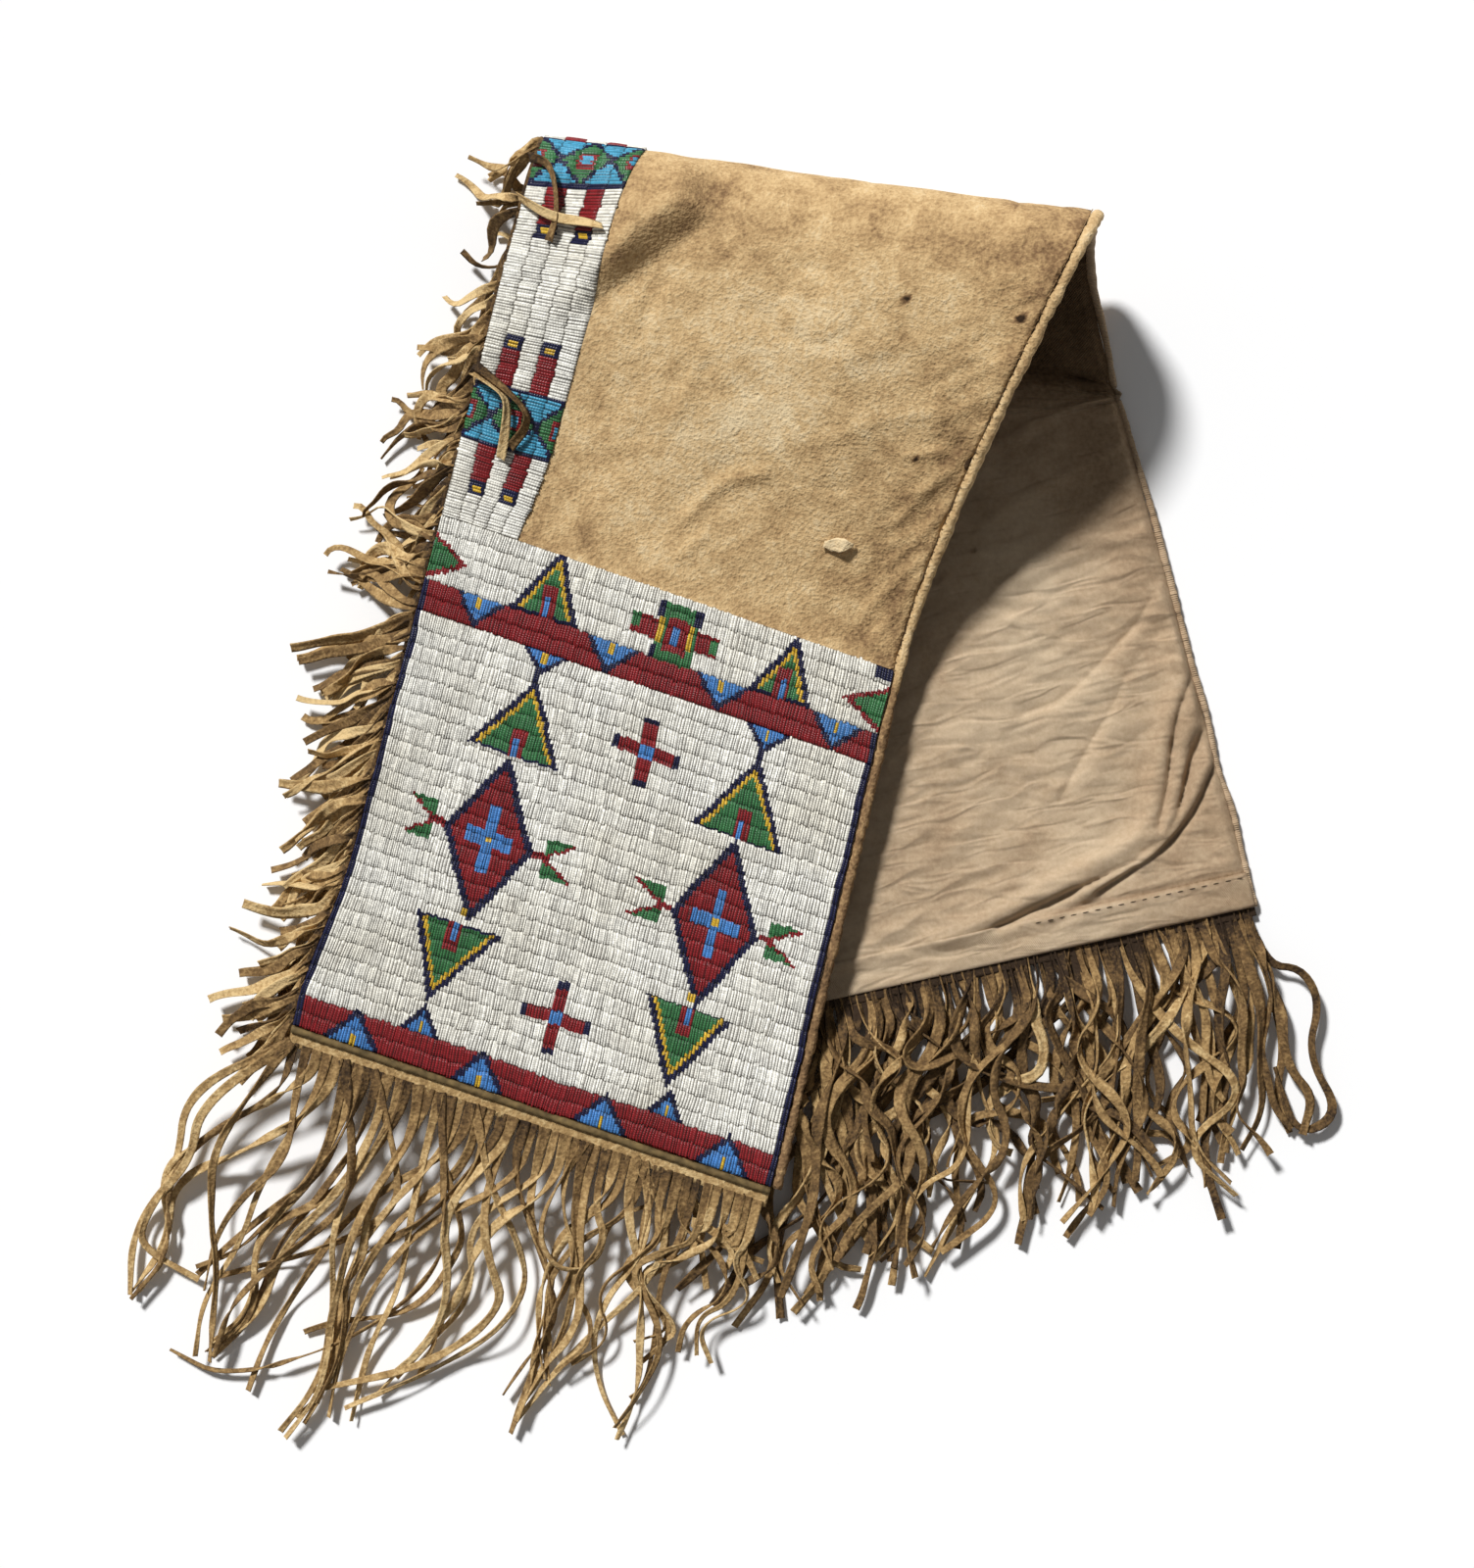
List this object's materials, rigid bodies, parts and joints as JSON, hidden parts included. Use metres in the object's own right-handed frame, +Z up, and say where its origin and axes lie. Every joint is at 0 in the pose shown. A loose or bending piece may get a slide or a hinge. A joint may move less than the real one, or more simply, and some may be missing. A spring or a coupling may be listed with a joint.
{
  "type": "beaded saddle bag",
  "caption": "Long flat hide bag folded in half over itself, with beaded end panels, a beaded side strip, a cotton cloth back and hide fringe, for slinging over a saddle.",
  "frame": {"origin": "on the floor under the middle of the bead panel of the back half, the half that lies on the floor", "axes": "+Z up from the floor, +X across the bag towards its rolled edge, +Y towards the fold"},
  "size_m": [0.8024, 0.8672, 0.1407],
  "materials": {
    "tanned_hide": "matt brain-tanned hide",
    "fringe_hide": "matt aged hide thongs",
    "dark_hide": "matt darkened hide",
    "cotton_cloth": "matt cotton twill",
    "white_beads": "opaque chalk-white glass beads, satin",
    "red_beads": "opaque red glass beads, satin",
    "navy_beads": "opaque navy glass beads, glossy",
    "green_beads": "green glass beads, glossy"
  },
  "bodies": {
    "root": {"back_end_fringe": "fringe_hide", "back_end_welt": "dark_hide", "back_hem_band": "cotton_cloth", "back_left_diamond": "red_beads", "back_left_navy_row": "navy_beads", "back_lower_red_band": "red_beads", "back_right_diamond": "red_beads", "back_right_navy_row": "navy_beads", "back_top_white_field": "white_beads", "back_upper_red_band": "red_beads", "back_white_field": "white_beads", "cloth_back": "cotton_cloth", "edge_roll": "cotton_cloth", "front_end_fringe": "fringe_hide", "front_end_welt": "dark_hide", "front_hem_band": "cotton_cloth", "front_left_diamond": "red_beads", "front_left_navy_row": "navy_beads", "front_lower_cross": "red_beads", "front_lower_left_tipi": "green_beads", "front_lower_red_band": "red_beads", "front_lower_right_tipi": "green_beads", "front_right_diamond": "red_beads", "front_right_navy_row": "navy_beads", "front_top_white_field": "white_beads", "front_upper_cross": "red_beads", "front_upper_left_tipi": "green_beads", "front_upper_red_band": "red_beads", "front_upper_right_tipi": "green_beads", "front_white_field": "white_beads", "hide_panel": "tanned_hide", "side_bead_strip": "white_beads", "side_fringe": "fringe_hide", "thong_tab": "fringe_hide"}
  },
  "joints": []
}
